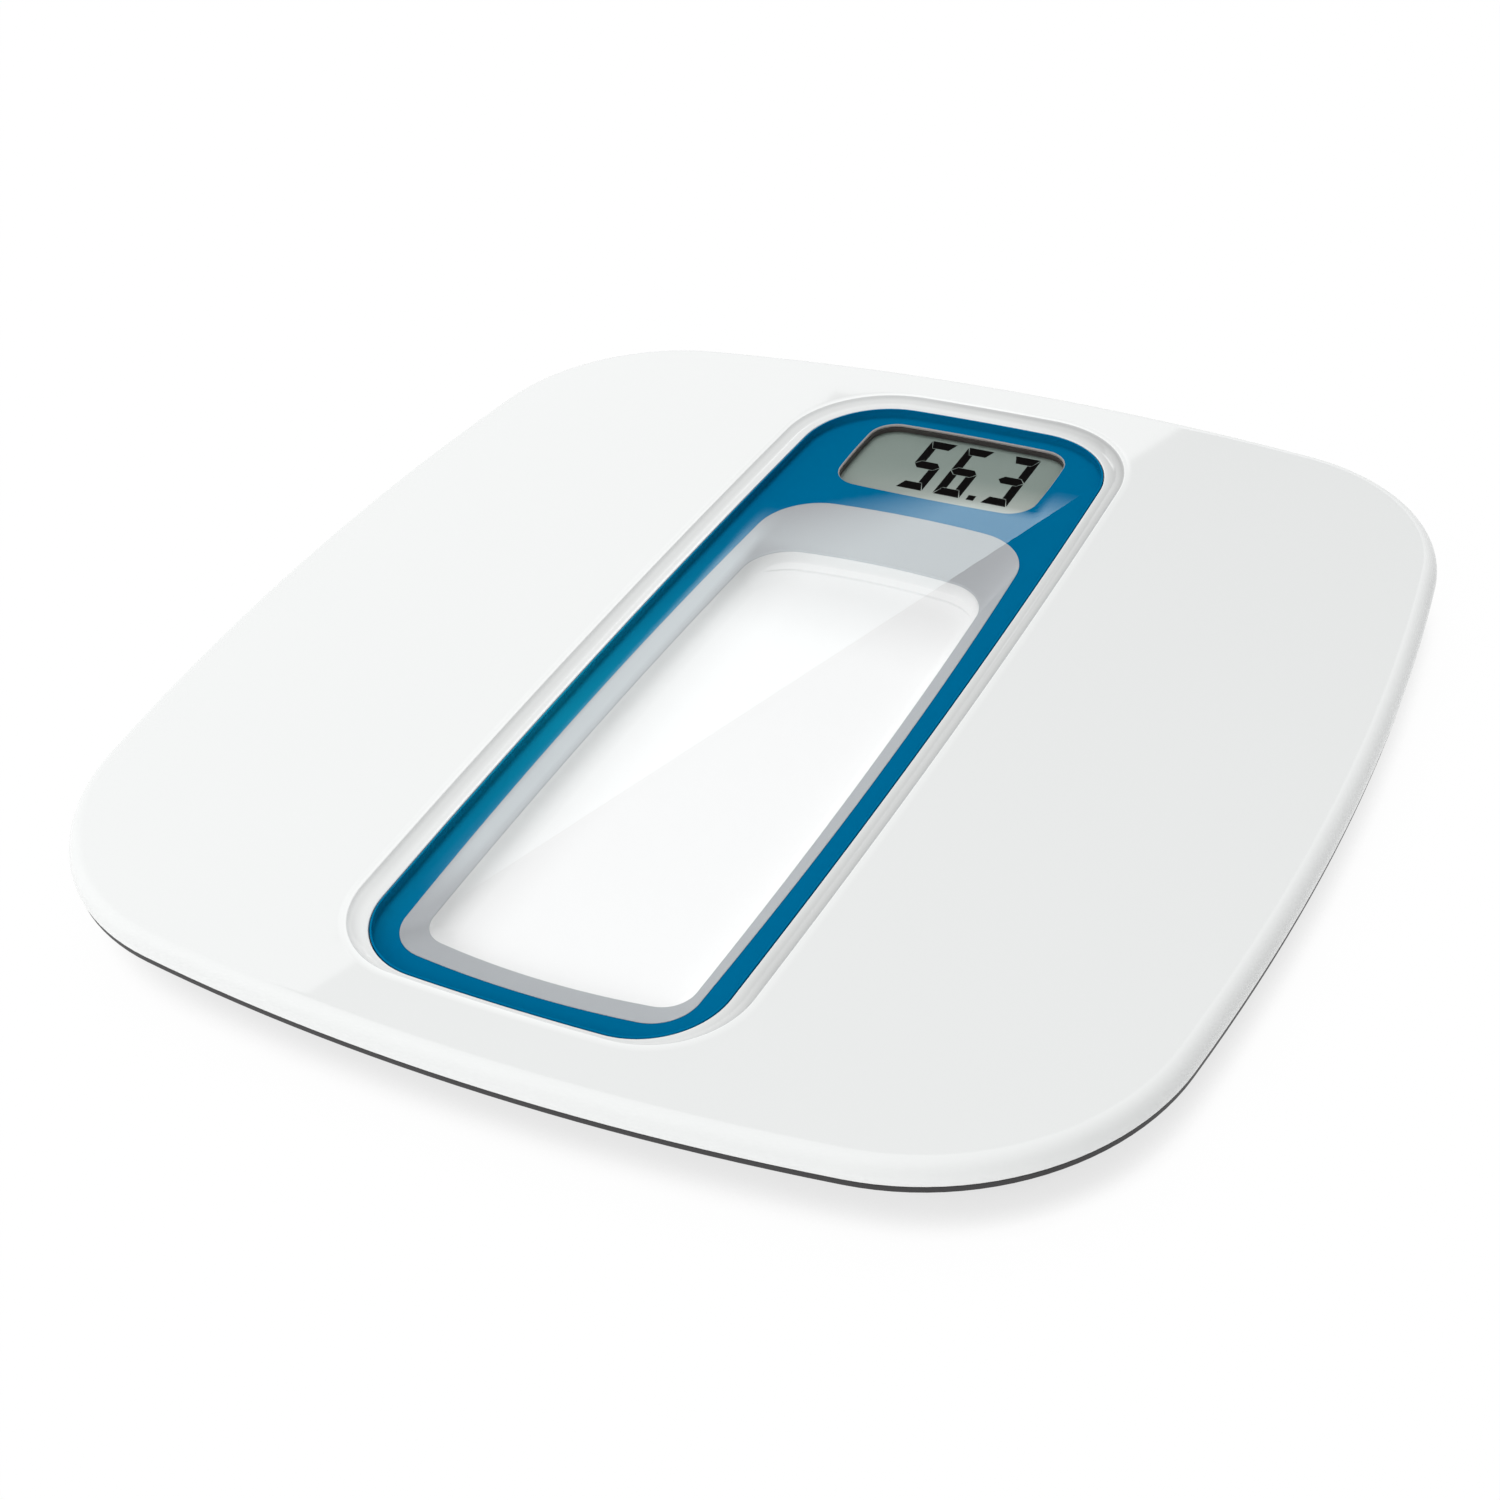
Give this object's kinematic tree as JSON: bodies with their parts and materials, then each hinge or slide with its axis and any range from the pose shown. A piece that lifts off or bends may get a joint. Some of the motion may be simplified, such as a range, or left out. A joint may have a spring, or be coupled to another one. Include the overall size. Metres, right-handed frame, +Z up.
{
  "type": "bathroom scale",
  "caption": "Slim white bathroom scale: bullnose platform with a long clear display window, captive feet on load cells and a coin-cell door underneath.",
  "frame": {"origin": "on the floor, under the middle of the platform", "axes": "+Z up, +Y to the display end, +X to the right of the person who stands on the scale"},
  "size_m": [0.32, 0.334, 0.022],
  "materials": {
    "white_abs": "glossy moulded, faintly cool white",
    "dark_grey_abs": "satin moulded",
    "blue_acrylic": "glossy, seen under the clear lens",
    "silver_paint": "satin silver paint on plastic",
    "clear_lens": "polished, clear",
    "display_glass": "grey-green display cell, opaque",
    "black_abs": "matte",
    "board_green": "solder mask",
    "rubber": "matte",
    "steel": "plain plated",
    "natural_plastic": "undyed",
    "cable_red": "soft wire jacket"
  },
  "bodies": {
    "scale_body": {"platform_shell": "white_abs", "display_well": "white_abs", "load_cell_carrier_front_left": "white_abs", "load_cell_carrier_front_right": "white_abs", "load_cell_carrier_back_left": "white_abs", "load_cell_carrier_back_right": "white_abs", "base_cover": "dark_grey_abs", "blue_surround": "blue_acrylic", "silver_band": "silver_paint", "window_lens": "clear_lens", "display_glass": "display_glass", "display_holder": "black_abs", "controller_blob": "black_abs", "circuit_board": "board_green", "rubber_connector_front": "rubber", "rubber_connector_back": "rubber", "coin_cell": "steel", "battery_contact_negative": "steel", "battery_contact_positive": "steel", "unit_switch": "steel", "load_cell_front_left": "steel", "load_cell_front_right": "steel", "load_cell_back_left": "steel", "load_cell_back_right": "steel", "cover_screw_1": "steel", "cover_screw_2": "steel", "cover_screw_3": "steel", "cover_screw_4": "steel", "cover_screw_5": "steel", "cover_screw_6": "steel", "lead_socket_left": "natural_plastic", "lead_socket_right": "natural_plastic", "battery_lead": "cable_red", "load_cell_lead_front_left": "cable_red", "load_cell_lead_front_right": "cable_red", "load_cell_lead_back_left": "cable_red", "load_cell_lead_back_right": "cable_red"},
    "foot_front_left": {"foot_cup_front_left": "dark_grey_abs", "foot_pad_front_left": "rubber"},
    "foot_front_right": {"foot_cup_front_right": "dark_grey_abs", "foot_pad_front_right": "rubber"},
    "foot_back_left": {"foot_cup_back_left": "dark_grey_abs", "foot_pad_back_left": "rubber"},
    "foot_back_right": {"foot_cup_back_right": "dark_grey_abs", "foot_pad_back_right": "rubber"},
    "battery_door": {"battery_door": "dark_grey_abs"},
    "unit_button": {"unit_button": "natural_plastic"}
  },
  "joints": [
    {"name": "foot_slide_front_left", "type": "slide", "parent": "scale_body", "child": "foot_front_left", "axis": [0, 0, 1], "range_m": [-0.001, 0]},
    {"name": "foot_slide_front_right", "type": "slide", "parent": "scale_body", "child": "foot_front_right", "axis": [0, 0, 1], "range_m": [-0.001, 0]},
    {"name": "foot_slide_back_left", "type": "slide", "parent": "scale_body", "child": "foot_back_left", "axis": [0, 0, 1], "range_m": [-0.001, 0]},
    {"name": "foot_slide_back_right", "type": "slide", "parent": "scale_body", "child": "foot_back_right", "axis": [0, 0, 1], "range_m": [-0.001, 0]},
    {"name": "battery_door_hinge", "type": "hinge", "parent": "scale_body", "child": "battery_door", "pos_m": [0.0748, 0.02, 0.0036], "axis": [0, 1, 0], "range_deg": [0, 75]},
    {"name": "unit_button_press", "type": "slide", "parent": "scale_body", "child": "unit_button", "axis": [0, 0, 1], "range_m": [0, 0.0006], "stiffness_N_per_m": 150}
  ]
}
